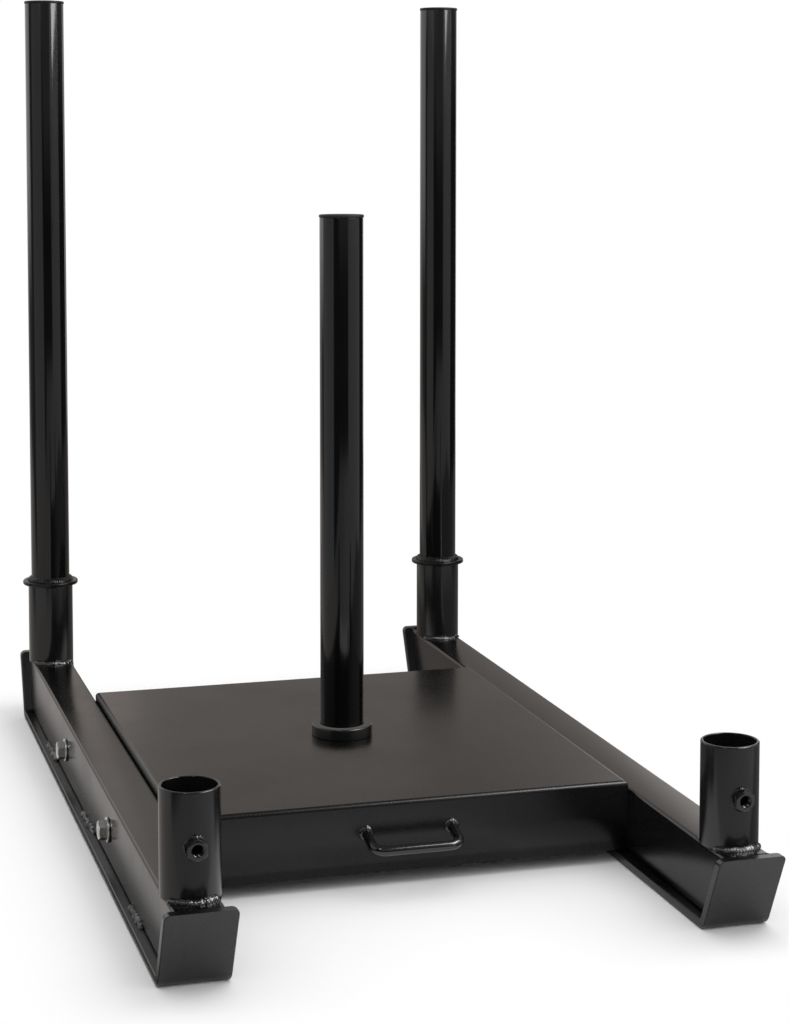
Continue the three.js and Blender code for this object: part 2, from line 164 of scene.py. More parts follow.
def lathe(profile, sides=96, closed=True):
    """A profile of (radius, height) turned about Z."""
    verts, faces, rings = [], [], []
    for r, z in profile:
        if r < 1e-6:
            verts.append((0.0, 0.0, z))
            rings.append([len(verts) - 1] * sides)
            continue
        first = len(verts)
        for k in range(sides):
            a = 2 * math.pi * k / sides
            verts.append((r * math.cos(a), r * math.sin(a), z))
        rings.append(list(range(first, first + sides)))
    pairs = list(zip(rings, rings[1:]))
    if closed:
        pairs.append((rings[-1], rings[0]))
    for low, high in pairs:
        for k in range(sides):
            n = (k + 1) % sides
            face = [low[k], low[n], high[n], high[k]]
            face = [v for i, v in enumerate(face) if v != face[i - 1]]
            if len(face) > 2:
                faces.append(face)
    return verts, faces


def turned_ring(inner, outer, height, radii, steps=3, sides=96):
    """A turned ring with round edges, their radii from the inner low edge round to the inner high one."""
    outline = [(inner, 0), (outer, 0), (outer, height), (inner, height)]
    return lathe(fillet(outline, radii, steps), sides)


def rod(radius, low, high):
    """A plain round rod from a low to a high height."""
    return lathe([(0, low), (radius, low), (radius, high), (0, high)], 48, closed=False)


def grid(rings, closed=False):
    """Faces between rings of the same number of points, and from the last ring to the first if closed."""
    verts = [p for ring in rings for p in ring]
    width = len(rings[0])
    faces = []
    for i in range(len(rings) if closed else len(rings) - 1):
        a, b = i * width, ((i + 1) % len(rings)) * width
        for k in range(width):
            n = (k + 1) % width
            faces.append([a + k, a + n, b + n, b + k])
    return verts, faces


def capped(rings):
    """A grid whose first and last rings are filled."""
    verts, faces = grid(rings)
    width = len(rings[0])
    first, last = list(range(width)), list(range(len(verts) - width, len(verts)))
    return verts, faces + [first[::-1], last]


def merged(*shapes):
    """Several shapes as one."""
    verts, faces = [], []
    for more_verts, more_faces in shapes:
        first = len(verts)
        verts += more_verts
        faces += [[first + i for i in face] for face in more_faces]
    return verts, faces


def rounded_section(width, height, radius, steps=6):
    """A rectangle round the middle, with round corners."""
    points = []
    for cx, cz, start in ((1, 1, 0), (-1, 1, 90), (-1, -1, 180), (1, -1, 270)):
        for k in range(steps + 1):
            a = math.radians(start + 90 * k / steps)
            points.append((cx * (width / 2 - radius) + radius * math.cos(a),
                           cz * (height / 2 - radius) + radius * math.sin(a)))
    return points


def sweep(path, radius, sides):
    """A round rod along a path."""
    points = [Vector(p) for p in path]
    up = Vector((0, 0, 1))
    angles = [2 * math.pi * k / sides for k in range(sides)]
    rings = []
    for i, p in enumerate(points):
        ahead = points[min(i + 1, len(points) - 1)] - points[max(i - 1, 0)]
        ahead.normalize()
        side = ahead.cross(up).normalized()
        rise = side.cross(ahead).normalized()
        rings.append([tuple(p + (side * math.cos(a) + rise * math.sin(a)) * radius) for a in angles])
    return capped(rings)


def cut_hole(obj, radius, place):
    """Cuts a round hole along the place's Z axis."""
    reach = 60
    mesh = bpy.data.meshes.new("cutter")
    bm = filled(mesh, rod(radius, -reach, reach))
    bm.transform(place)
    bm.to_mesh(mesh)
    bm.free()
    cutter = linked("cutter", mesh)
    modifier = obj.modifiers.new("hole", "BOOLEAN")
    modifier.object = cutter
    modifier.solver = "EXACT"
    bpy.context.view_layer.update()
    made = bpy.data.meshes.new_from_object(obj.evaluated_get(bpy.context.evaluated_depsgraph_get()))
    obj.modifiers.clear()
    made.name = obj.name
    obj.data = made
    for face in made.polygons:
        face.use_smooth = True
    made.set_sharp_from_angle(angle=math.radians(SHARP))
    bpy.data.objects.remove(cutter)


# Weld beads

def ring_path(radius, start=0.0, end=360.0):
    """Points on a level ring or arc round the middle, between two angles in degrees."""
    count = max(12, round(math.radians(end - start) * radius / BEAD_STEP))
    whole = end - start >= 360
    angles = [math.radians(start + (end - start) * k / count) for k in range(count if whole else count + 1)]
    return [(radius * math.cos(a), radius * math.sin(a), 0.0) for a in angles]


def skin_path(radius, tube):
    """A ring on the skin of an upright tube, round its -Y side, seen from the tube's axis."""
    count = round(2 * math.pi * radius / BEAD_STEP)
    path = []
    for k in range(count):
        a = 2 * math.pi * k / count
        x, z = radius * math.cos(a), radius * math.sin(a)
        path.append((x, -math.sqrt(tube * tube - x * x), z))
    return path


def line_path(a, b):
    """Points on a straight line."""
    a, b = Vector(a), Vector(b)
    count = max(6, round((b - a).length / BEAD_STEP))
    return [tuple(a.lerp(b, k / count)) for k in range(count + 1)]


def fixed(x, y, z):
    """For weld: one direction all along the path."""
    return lambda p: (x, y, z)


def from_upright(x, y):
    """For weld: the direction away from an upright axis."""
    return lambda p: Vector((p[0] - x, p[1] - y, 0)).normalized()


def from_level(x, z):
    """For weld: the direction away from a level axis along Y."""
    return lambda p: Vector((p[0] - x, 0, p[2] - z)).normalized()


def ripple(s, t, seed, lumpy):
    """How a bead's size changes along its length s, in mm, and round its section t, from 0 to 1."""
    pitch, bow = 2.8, 1.1  # a ripple's length in mm, and how far its middle is bent along the bead
    ripples, slow_lumps, quick_lumps = 0.13, 0.26, 0.1
    wave = math.sin(math.pi * (s / pitch - bow * math.sin(math.pi * t)))
    slow = noise.noise(Vector((s * 0.13, seed * 3.7, t * 0.6)))
    quick = noise.noise(Vector((s * 0.45, seed * 9.1, 5 + t)))
    return 1.0 + ripples * (abs(wave) - 0.6) + lumpy * (slow_lumps * slow + quick_lumps * quick)


def weld(name, path, out_a, out_b, leg, material, body, seed, closed=False, lumpy=1.0):
    """A fillet bead along a path in a corner. out_a and out_b give the directions, away from the corner along
    each face, at a point of the path."""
    rows = 9  # points across the bead's face
    fullness = 0.66  # of the face, from flat at 0 to round at 1
    taper, tip = 14, 0.08  # the most points that an open bead's end takes, and the size it ends with
    depth = 0.4  # of the bead's back inside the corner, in mm
    rings = []
    s = 0.0
    count = len(path)
    for i, p in enumerate(path):
        p = Vector(p)
        if i:
            s += (p - Vector(path[i - 1])).length
        a, b = Vector(out_a(p)), Vector(out_b(p))
        size = leg
        if not closed:
            end = min(i, count - 1 - i) / max(1, min(taper, count // 5))
            size *= math.sqrt(max(0.0, 1 - (1 - min(1, end)) ** 2)) * (1 - tip) + tip
        ring = []
        for k in range(rows):
            t = k / (rows - 1)
            flat = a * (1 - t) + b * t
            full = a * math.cos(t * math.pi / 2) + b * math.sin(t * math.pi / 2)
            arm = flat.lerp(full, fullness)
            ring.append(tuple(p + arm * size * ripple(s, t, seed, lumpy)))
        ring.append(tuple(p - (a + b) * depth))
        rings.append(ring)
    shape = grid(rings, closed=True) if closed else capped(rings)
    return piece(name, shape, material, body, sharp=80)


# Materials

def shader(name):
    """A new material, its node tree and its principled node."""
    material = bpy.data.materials.new(name)
    material.use_nodes = True
    tree = material.node_tree
    return material, tree, tree.nodes["Principled BSDF"]


def bare_shader(name):
    """A new material without its principled node, its node tree and the socket of its surface."""
    material, tree, base = shader(name)
    tree.nodes.remove(base)
    return material, tree, tree.nodes["Material Output"].inputs["Surface"]


def object_coords(tree):
    return tree.nodes.new("ShaderNodeTexCoord").outputs["Object"]


def noise_at(tree, scale, detail=3.0, rough=0.5):
    """Noise over the object, its scale per metre."""
    texture = tree.nodes.new("ShaderNodeTexNoise")
    texture.inputs["Scale"].default_value = scale
    texture.inputs["Detail"].default_value = detail
    texture.inputs["Roughness"].default_value = rough
    tree.links.new(object_coords(tree), texture.inputs["Vector"])
    return texture.outputs["Fac"]


def mapped(tree, value, source, target):
    """A value carried from one range to another, and kept inside it."""
    node = tree.nodes.new("ShaderNodeMapRange")
    for label, number in zip(("From Min", "From Max", "To Min", "To Max"), (*source, *target)):
        node.inputs[label].default_value = number
    tree.links.new(value, node.inputs["Value"])
    return node.outputs["Result"]


def blended(tree, factor, first, second):
    """A mix of two colours."""
    node = tree.nodes.new("ShaderNodeMix")
    node.data_type = "RGBA"
    node.inputs["A"].default_value = (*first, 1)
    node.inputs["B"].default_value = (*second, 1)
    tree.links.new(factor, node.inputs["Factor"])
    return node.outputs["Result"]


def combined(tree, operation, first, second, clamp=False):
    """Two values added or multiplied, and kept from 0 to 1 if asked."""
    node = tree.nodes.new("ShaderNodeMath")
    node.operation = operation
    node.use_clamp = clamp
    tree.links.new(first, node.inputs[0])
    tree.links.new(second, node.inputs[1])
    return node.outputs[0]


def bumped(tree, heights):
    """A chain of bumps from (height output, strength, distance in mm)."""
    normal = None
    for height, strength, distance in heights:
        node = tree.nodes.new("ShaderNodeBump")
        node.inputs["Strength"].default_value = strength
        node.inputs["Distance"].default_value = distance * MM
        tree.links.new(height, node.inputs["Height"])
        if normal:
            tree.links.new(normal, node.inputs["Normal"])
        normal = node.outputs["Normal"]
    return normal


def coat(name, dark, light, rough, spread=0.05, level=0.5, peel=0.12, specks=0.2):
    """Powder coat over steel: slight orange peel, cloudy gloss and a few dull specks."""
    material, tree, base = shader(name)
    cloud = noise_at(tree, scale=9.0, detail=4.0, rough=0.6)
    fine = noise_at(tree, scale=520.0, detail=2.0)
    grain = noise_at(tree, scale=1900.0, detail=1.0)
    tint = blended(tree, mapped(tree, cloud, (0.35, 0.65), (0, 1)), dark, light)
    cloudy = mapped(tree, cloud, (0.3, 0.7), (rough - spread, rough + spread))
    dull = mapped(tree, fine, (0.66, 0.78), (0.0, specks))
    tree.links.new(tint, base.inputs["Base Color"])
    tree.links.new(combined(tree, "ADD", cloudy, dull), base.inputs["Roughness"])
    base.inputs["Specular IOR Level"].default_value = level
    tree.links.new(bumped(tree, [(fine, peel, 0.12), (grain, peel * 0.6, 0.03)]), base.inputs["Normal"])
    return material


def plastic(name):
    """Satin black plastic, with a fine grain."""
    material, tree, base = shader(name)
    grain = noise_at(tree, scale=1500.0, detail=2.0, rough=0.6)
    tint = blended(tree, noise_at(tree, scale=40.0), (0.010, 0.010, 0.010), (0.018, 0.018, 0.018))
    tree.links.new(tint, base.inputs["Base Color"])
    tree.links.new(mapped(tree, grain, (0.3, 0.7), (0.38, 0.52)), base.inputs["Roughness"])
    base.inputs["Specular IOR Level"].default_value = 0.12
    tree.links.new(bumped(tree, [(grain, 0.25, 0.05)]), base.inputs["Normal"])
    return material


def zinc(name):
    """Bright zinc plate, with fine turning marks and a few darker stains."""
    material, tree, base = shader(name)
    stain = noise_at(tree, scale=130.0, detail=4.0, rough=0.65)
    marks = noise_at(tree, scale=2600.0, detail=2.0, rough=0.6)
    tint = blended(tree, mapped(tree, stain, (0.35, 0.7), (0, 1)), (0.72, 0.72, 0.70), (0.50, 0.50, 0.49))
    tree.links.new(tint, base.inputs["Base Color"])
    base.inputs["Metallic"].default_value = 1.0
    tree.links.new(mapped(tree, marks, (0.3, 0.7), (0.2, 0.36)), base.inputs["Roughness"])
    tree.links.new(bumped(tree, [(marks, 0.2, 0.03), (stain, 0.1, 0.05)]), base.inputs["Normal"])
    return material


SKID = coat("skid_coat", (0.0045, 0.0045, 0.0044), (0.007, 0.007, 0.0068), 0.28)
RAIL = coat("rail_coat", (0.002, 0.002, 0.0019), (0.0035, 0.0035, 0.0034), 0.22, 0.04, level=0.35)
SOCKET = coat("socket_coat", (0.004, 0.004, 0.004), (0.006, 0.006, 0.006), 0.2, 0.04)
DECK = coat("deck_coat", (0.002, 0.002, 0.0019), (0.0035, 0.0034, 0.0033), 0.26, 0.04, level=0.35, peel=0.14)
POST = coat("post_coat", (0.002, 0.002, 0.002), (0.003, 0.003, 0.003), 0.12, 0.02, level=0.42, peel=0.04,
            specks=0.06)
COLLAR = coat("collar_coat", (0.004, 0.004, 0.004), (0.006, 0.006, 0.006), 0.30, 0.04)
HANDLE = coat("handle_coat", (0.003, 0.003, 0.003), (0.005, 0.005, 0.005), 0.14, 0.03, level=0.7)
BEAD = coat("weld_coat", (0.005, 0.005, 0.005), (0.008, 0.008, 0.008), 0.14, 0.04, level=0.8)
FLANGE_BEAD = coat("flange_weld_coat", (0.003, 0.003, 0.003), (0.005, 0.005, 0.005), 0.24, 0.04, level=0.25)
CAP = plastic("cap_plastic")
ZINC = zinc("zinc_plate")


# Runners

def leaning(z, depth):
    """How far out a bent end lies at a height and at a depth inside the bar."""
    return FOOT + z * math.tan(LEAN) - depth / math.cos(LEAN)


def bend_line(depth):
    """The line at a depth inside a skid's bent bar, round the bend and up the bent end: (y, z)."""
    bend_steps, rise_steps, corner_steps = 12, 3, 9
    centre, radius = leaning(BEND, BEND), BEND - depth
    line = []
    for k in range(bend_steps + 1):
        a = k / bend_steps * (math.pi / 2 - LEAN)
        line.append((centre + radius * math.sin(a), BEND - radius * math.cos(a)))
    start, corner = line[-1][1], SKID_TOP - SKID_CORNER
    heights = [start + (corner - start) * k / rise_steps for k in range(1, rise_steps + 1)]
    for k in range(1, corner_steps + 1):
        heights.append(corner + SKID_CORNER * math.sin(math.pi / 2 * k / corner_steps))
    return line + [(leaning(z, depth), z) for z in heights]


def skid_half(z):
    """Half a skid's width at a height, less at the bent ends' round corners."""
    over = max(0.0, z - (SKID_TOP - SKID_CORNER))
    return SKID_WIDTH / 2 - SKID_CORNER + math.sqrt(max(0.0, SKID_CORNER ** 2 - over ** 2))


def skid_shape():
    """The flat bar with its bent ends, as rings across it with rounded long edges."""
    stations = list(zip(bend_line(0.0), bend_line(SKID_THICK)))
    mirrored = [((-oy, oz), (-iy, iz)) for (oy, oz), (iy, iz) in stations[::-1]]
    section = rounded_section(SKID_WIDTH, SKID_THICK, SKID_ARRIS, 4)
    rings = []
    for (oy, oz), (iy, iz) in mirrored + stations:
        outer, inner = skid_half(oz), skid_half(iz)
        ring = []
        for x, height in section:
            share = 0.5 - height / SKID_THICK
            narrowing = SKID_WIDTH / 2 - (outer + (inner - outer) * share)
            ring.append((x - math.copysign(narrowing, x), oy + (iy - oy) * share, oz + (iz - oz) * share))
        rings.append(ring)
    return capped(rings)


def rail_end(z):
    """Where the rail's mitred end lies at a height: on the bent end's slope or on the bend's arc."""
    slope = leaning(z, RAIL_BOTTOM)
    radius, low = BEND - RAIL_BOTTOM, BEND - z
    if radius * math.sin(LEAN) < low <= radius:
        return min(slope, leaning(BEND, BEND) + math.sqrt(radius ** 2 - low ** 2))
    return slope


def rail_shape():
    section = [(x, z + RAIL_MIDDLE) for x, z in rounded_section(RAIL_WIDTH, RAIL_HEIGHT, RAIL_CORNER)]
    return capped([[(x, sign * rail_end(z), z) for x, z in section] for sign in (-1, 1)])


def runner(side, sign):
    """A skid and its rail."""
    place = along(sign * RUNNER_X)
    piece(f"{side}_skid_bar", skid_shape(), SKID, "frame",
          (f"{side}_skid", f"{side}_front_skid_end", f"{side}_rear_skid_end"), place, bevel=0.9)
    piece(f"{side}_rail_tube", rail_shape(), RAIL, "frame", (f"{side}_rail",), place, sharp=40)


def plate_weld(side, sign, end, way):
    """The bead between the rail's top and the bent end."""
    x, half = sign * RUNNER_X, 23
    y = way * (rail_end(RAIL_TOP) + GAP / math.cos(LEAN))
    path = line_path((x - half, y, RAIL_TOP), (x + half, y, RAIL_TOP))
    rise = fixed(0, way * math.sin(LEAN) * 0.3, 0.9)
    weld(f"{side}_{end}_plate_weld", path, fixed(0, -way, 0), rise, 2.6, BEAD, "frame",
         21 + sign + way)


def stitches(side, sign):
    """Beads at the foot of the rail's walls. The photo shows none on the inner wall in front of the deck."""
    spans = ((240, 322), (-61, 20), (-368, -300))
    for face, facing, shown in (("outer", sign, spans), ("inner", -sign, spans[:2])):
        x = sign * RUNNER_X + facing * RAIL_WIDTH / 2
        for number, (y0, y1) in enumerate(shown):
            path = line_path((x, y0, SKID_THICK), (x, y1, SKID_THICK))
            weld(f"{side}_stitch_{number}_{face}", path, fixed(facing, 0, 0), fixed(0, 0, 1), 3.9, BEAD,
                 "frame", 31 + number + 2 * facing + 5 * sign, lumpy=2.6)


# Hexagons, threads and washers

HEX_STEPS = 72
HEX_ANGLES = [2 * math.pi * k / HEX_STEPS for k in range(HEX_STEPS)]
HEX_FACE = HEX_ACROSS / 2 * 0.955  # the radius of the flat inside the turned chamfer


def hex_ring(radii, heights):
    """Points round a hexagon, from a radius and a height for each."""
    return [(r * math.cos(a), r * math.sin(a), z) for a, r, z in zip(HEX_ANGLES, radii, heights)]


def level_ring(radius, z):
    return hex_ring([radius] * HEX_STEPS, [z] * HEX_STEPS)


def hex_sides(height, corner, both=False):
    """The rings of a hexagon up to the flat of its top, with a turned chamfer at the top or at both ends. One
    of its corners is at the angle named corner."""
    sixth = math.pi / 3
    reach = [HEX_ACROSS / 2 / math.cos((a - corner) % sixth - sixth / 2) for a in HEX_ANGLES]
    drop = [max(0.0, r - HEX_FACE) * math.tan(math.radians(30)) for r in reach]
    if both:
        rings = [level_ring(HEX_FACE, 0.0), hex_ring(reach, drop)]
    else:
        rings = [hex_ring(reach, [0.0] * HEX_STEPS)]
    rings.append(hex_ring(reach, [height - d for d in drop]))
    rings.append(level_ring(HEX_FACE, height))
    return rings


def hex_head(corner=0.0):
    """A screw's or bolt's head, with a shallow dish in its top."""
    dish = HEX_HEAD - 0.25
    rings = hex_sides(HEX_HEAD, corner)
    for share, z in ((0.8, HEX_HEAD), (0.72, dish), (0.02, dish)):
        rings.append(level_ring(HEX_FACE * share, z))
    return capped(rings)


def plain_nut():
    """A nut with a smooth bore, which the bolt's thread fills."""
    bore, lead = 6.2, 1.0
    rings = hex_sides(HEX_NUT, 0.0, both=True)
    for radius, z in ((bore + lead, HEX_NUT), (bore, HEX_NUT - lead), (bore, lead), (bore + lead, 0.0)):
        rings.append(level_ring(radius, z))
    return grid(rings, closed=True)


def threaded_nut():
    """An open nut with a thread in its bore."""
    lead, half_depth, rings_per_turn = 1.0, 0.45, 6
    depth = SOCKET_NUT - 2 * lead
    rings = hex_sides(SOCKET_NUT, math.pi / 2)
    rings.append(level_ring(THREAD_ROOT + lead, SOCKET_NUT))
    count = int(depth / THREAD_PITCH * rings_per_turn)
    for k in range(count + 1):
        z = SOCKET_NUT - lead - depth * k / count
        turns = [z / THREAD_PITCH - i / HEX_STEPS for i in range(HEX_STEPS)]
        radii = [THREAD_ROOT + half_depth - half_depth * math.cos(2 * math.pi * turn) for turn in turns]
        rings.append(hex_ring(radii, [z] * HEX_STEPS))
    rings.append(level_ring(THREAD_ROOT + lead, 0.0))
    return grid(rings, closed=True)


def thread_shape(low, high):
    """A threaded rod from a low to a high height, with a chamfered low end."""
    sides, rings_per_turn, chamfer = 36, 8, 1.4
    rings = []
    count = int((high - low) / THREAD_PITCH * rings_per_turn)
    for k in range(count + 1):
        z = low + (high - low) * k / count
        lead = min(1.0, (z - low) / chamfer * 0.7 + 0.3)
        ring = []
        for i in range(sides):
            wave = abs(((z / THREAD_PITCH - i / sides) % 1.0) * 2 - 1)
            height = min(1, max(0, wave * 1.5 - 0.25)) * lead
            r = THREAD_ROOT + (THREAD_CREST - THREAD_ROOT) * height
            a = 2 * math.pi * i / sides
            ring.append((r * math.cos(a), r * math.sin(a), z))
        rings.append(ring)
    return capped(rings)


def washer_shape():
    return turned_ring(7, 13.5, WASHER, (0.3, 0.5, 0.5, 0.3), sides=72)


def rail_bolt(side, sign, end, way):
    """A bolt through the rail and the deck's flange, with its washers and nut."""
    place = along(sign * (RUNNER_X + RAIL_WIDTH / 2), way * BOLT_Y, RAIL_MIDDLE, (0, sign * 90, 0))
    name = f"{side}_{end}_rail"
    grip = WASHER + RAIL_WIDTH + DECK_SHEET + WASHER + 4 * GAP
    inner = -RAIL_WIDTH - DECK_SHEET - 2 * GAP - WASHER
    beyond, plain = 4.0, 2.0  # of the thread: past the nut, and inside the plain shank
    piece(f"{name}_outer_washer", washer_shape(), ZINC, "frame", (f"{name}_washer_outer",),
          place @ along(z=GAP))
    thread = thread_shape(-grip - GAP - HEX_NUT - beyond, plain - grip)
    piece(f"{name}_hex_bolt", merged(hex_head(), thread, rod(BOLT_RADIUS, -grip, 1)), ZINC, "frame",
          (f"{name}_bolt",), place @ along(z=GAP + WASHER + GAP))
    piece(f"{name}_inner_washer", washer_shape(), ZINC, "frame", (f"{name}_washer_inner",),
          place @ along(z=inner))
    piece(f"{name}_hex_nut", plain_nut(), ZINC, "frame", (f"{name}_nut",),
          place @ along(z=inner - GAP - HEX_NUT))


# Sockets and clamp screws

def socket(side, sign, end, way):
    """A post's socket on the rail, with the nut for a clamp screw and their beads."""
    x, y = sign * RUNNER_X, way * SOCKET_Y
    name = f"{end}_{side}"
    place = along(x, y, SOCKET_BASE, (0, 0, 180.0 if way > 0 else 0.0))
    shape = turned_ring(SOCKET_BORE, SOCKET_RADIUS, SOCKET_HEIGHT, (0.2, 0.2, 1.4, 0.9), 6, 128)
    tube = piece(f"{name}_socket_tube", shape, SOCKET, "frame", (f"{name}_socket",), place)
    cut_hole(tube, SCREW_HOLE, along(x, way * (SOCKET_Y + 60), SCREW_Z, (90, 0, 0)))

    # The nut stands 1 mm deep in the socket's skin, its axis towards the outside
    piece(f"{name}_socket_hex_nut", threaded_nut(), BEAD, "frame", (f"{name}_socket_nut",),
          place @ along(0, 1.0 - SOCKET_RADIUS, SCREW_HEIGHT, (90, 0, 0)))

    def from_nut(p):
        """The direction along the socket's skin, away from the nut."""
        arm = Vector(p) - Vector((x, y, SCREW_Z))
        flat = Vector((arm.x, 0, arm.z)).normalized()
        skin = Vector((arm.x, arm.y, 0)).normalized()
        return (flat - skin * flat.dot(skin)).normalized()

    path = moved(skin_path(9.7, SOCKET_RADIUS), place @ along(z=SCREW_HEIGHT))
    weld(f"{name}_nut_weld", path, from_nut, from_upright(x, y), 2.1, SOCKET, "frame",
         3 + sign + 5 * way, closed=True, lumpy=2.6)
    for part, (start, stop) in enumerate(((-147, -33), (33, 147))):
        path = moved(ring_path(SOCKET_RADIUS, start, stop), place @ along(z=-GAP))
        weld(f"{name}_foot_weld_{part}", path, from_upright(x, y), fixed(0, 0, 1), 4.4, BEAD,
             "frame", 11 + sign + 3 * way + part)


def clamp_screw(side, sign):
    """The screw in a rear socket's nut, which holds the push post."""
    tip, chamfer = 3.9, 1.2
    place = along(sign * RUNNER_X, SOCKET_Y + POST_EYE + SCREW_REACH, SCREW_Z, (-90, 0, 0))
    profile = [(0, -SCREW_REACH), (tip, -SCREW_REACH), (THREAD_ROOT, chamfer - SCREW_REACH), (THREAD_ROOT, 1),
               (0, 1)]
    shape = merged(hex_head(math.pi / 2), lathe(profile, 48, closed=False), thread_shape(-7.6, 0.4))
    name = f"{side}_clamp_screw"
    piece(f"{side}_clamp_hex_screw", shape, ZINC, name, (name,), place)


# Posts

def post_tube(name, length, body, node, place):
    """A post's tube. It stays out of the other pieces' gloss, because the photo shows no reflection of it."""
    shape = turned_ring(POST_BORE, POST_RADIUS, length, (0.4, 0.4, 0.4, 0.4), sides=128)
    tube = piece(name, shape, POST, body, (node,), place)
    tube.visible_glossy = False


def post_cap(name, body, node, place):
    """A plastic cap: a disc with a low crown on the post's rim, and a skirt inside its bore."""
    outline = [(19.7, 0), (19.7, -18), (22.7, -18), (22.7, 0), (25.7, 0), (25.7, 3), (0, 3.3), (0, 0)]
    profile = fillet(outline, (0, 0.4, 0.8, 0, 0.3, 1.2, 0, 0))
    piece(name, lathe(profile, closed=False), CAP, body, (node,), place)


def push_post(side, sign):
    """A push post: its tube, its flange on the socket's rim with a bead round it, and its cap."""
    x, body = sign * RUNNER_X, f"{side}_post"
    foot, seat = RAIL_TOP + 2, SOCKET_TOP + GAP
    post_tube(f"{side}_push_post", PUSH_POST, body, f"{side}_post_tube", along(x, SOCKET_Y, foot))
    shape = turned_ring(POST_EYE, FLANGE_RADIUS, FLANGE_THICK, (0.2, 1.5, 1.5, 0.2), 6)
    piece(f"{side}_push_post_flange", shape, FLANGE_BEAD, body, (f"{side}_post_flange",),
          along(x, SOCKET_Y, seat))
    path = moved(ring_path(POST_RADIUS), along(x, SOCKET_Y, seat + FLANGE_THICK))
    weld(f"{side}_flange_weld", path, from_upright(x, SOCKET_Y), fixed(0, 0, 1), 5.2, FLANGE_BEAD,
         body, 41 + sign, closed=True, lumpy=0.35)
    post_cap(f"{side}_push_post_cap", body, f"{side}_post_cap", along(x, SOCKET_Y, foot + PUSH_POST + GAP))


def weight_post():
    """The post for weight plates: its collar, tube and cap on the deck."""
    seat = DECK_TOP + GAP
    collar = turned_ring(POST_EYE, COLLAR_RADIUS, COLLAR_HEIGHT, (0.2, 0.3, 1.6, 0.5), 5)
    piece("weight_post_ring", collar, COLLAR, "frame", ("weight_post_collar",),
          along(0, DECK_Y, seat))
    post_tube("weight_post_pipe", WEIGHT_POST, "frame", "weight_post_tube", along(0, DECK_Y, seat))
    post_cap("weight_post_plug", "frame", "weight_post_cap", along(0, DECK_Y, seat + WEIGHT_POST + GAP))


def weight_post_fixing():
    """What holds the weight post: a foot in its tube, and a plate, washer and bolt under the deck."""
    foot = turned_ring(5.5, POST_BORE - GAP, 12, (0.5, 0.5, 0.5, 0.5))
    piece("weight_post_foot_disc", foot, POST, "frame", ("weight_post_foot",),
          along(0, DECK_Y, DECK_TOP + GAP))
    outline = rounded_section(PLATE_SIZE, PLATE_SIZE, PLATE_CORNER, 10)
    high = -DECK_SHEET - GAP
    low = high - PLATE_THICK
    plate = capped([[(a, b, z) for a, b in outline] for z in (low, high)])
    piece("weight_post_plate", plate, DECK, "frame", ("weight_post_backing_plate",),
          along(0, DECK_Y, DECK_TOP), bevel=0.6)
    washer_z = DECK_TOP + low - GAP - WASHER
    piece("weight_post_flat_washer", washer_shape(), ZINC, "frame", ("weight_post_washer",),
          along(0, DECK_Y, washer_z))
    piece("weight_post_hex_bolt", merged(hex_head(), rod(THREAD_ROOT, -23.3, 1)), ZINC, "frame",
          ("weight_post_bolt",), along(0, DECK_Y, washer_z - GAP, (180, 0, 0)))


# Deck

def deck_shape():
    """The folded sheet's outer skin: a grid whose edges roll over into the flanges, open at its corners."""
    steps = 8
    levels = [-DECK_DEPTH, -DECK_BEND - 30.0]
    arc = []
    for k in range(steps, -1, -1):
        a = math.pi / 2 * k / steps
        arc.append((DECK_BEND - DECK_BEND * math.sin(a), DECK_BEND * math.cos(a) - DECK_BEND))

    def stations(half):
        """The section across the deck, from one flange's foot to the other's: (place, height)."""
        run = [(-half, z) for z in levels] + [(-half + inwards, z) for inwards, z in arc]
        return run + [(-place, z) for place, z in run[::-1]]

    def on_flange(number, section):
        return number < len(levels) or number >= len(section) - 1 - len(levels)

    xs, ys = stations(DECK_WIDTH / 2), stations(DECK_LENGTH / 2)
    verts = [(x, y, min(x_height, y_height)) for x, x_height in xs for y, y_height in ys]
    faces = []
    for i in range(len(xs) - 1):
        for j in range(len(ys) - 1):
            if on_flange(i, xs) and on_flange(j, ys):
                continue
            a, b = i * len(ys) + j, (i + 1) * len(ys) + j
            faces.append([a, b, b + 1, a + 1])
    used = sorted({v for face in faces for v in face})
    renumbered = {v: k for k, v in enumerate(used)}
    return [verts[v] for v in used], [[renumbered[v] for v in face] for face in faces]


def deck_sheet():
    """The deck's sheet, thickened inwards."""
    deck = piece("deck_sheet", deck_shape(), DECK, "frame", ("deck_tray",),
                 along(0, DECK_Y, DECK_TOP))
    sheet = deck.modifiers.new("sheet", "SOLIDIFY")
    sheet.thickness = DECK_SHEET * MM
    sheet.offset = -1
    sheet.use_even_offset = True
    sheet.use_rim = True


# Pull handle

def handle_path():
    """The rod's middle line from root to root, with the handle's slight droop."""
    steps, droop = 12, math.radians(14)
    leg = [(-HANDLE_HALF, y) for y in (3.0, 0.0, -8.0, -16.0)]
    for k in range(steps + 1):
        a = math.pi + math.pi / 2 * k / steps
        leg.append((-HANDLE_HALF + HANDLE_BEND * (1 + math.cos(a)),
                    -HANDLE_REACH + HANDLE_BEND * (1 + math.sin(a))))
    leg.append((-20.0, -HANDLE_REACH))
    path = leg + [(0.0, -HANDLE_REACH)] + [(-x, y) for x, y in leg[::-1]]
    return [(x, y * math.cos(droop), y * math.sin(droop)) for x, y in path]


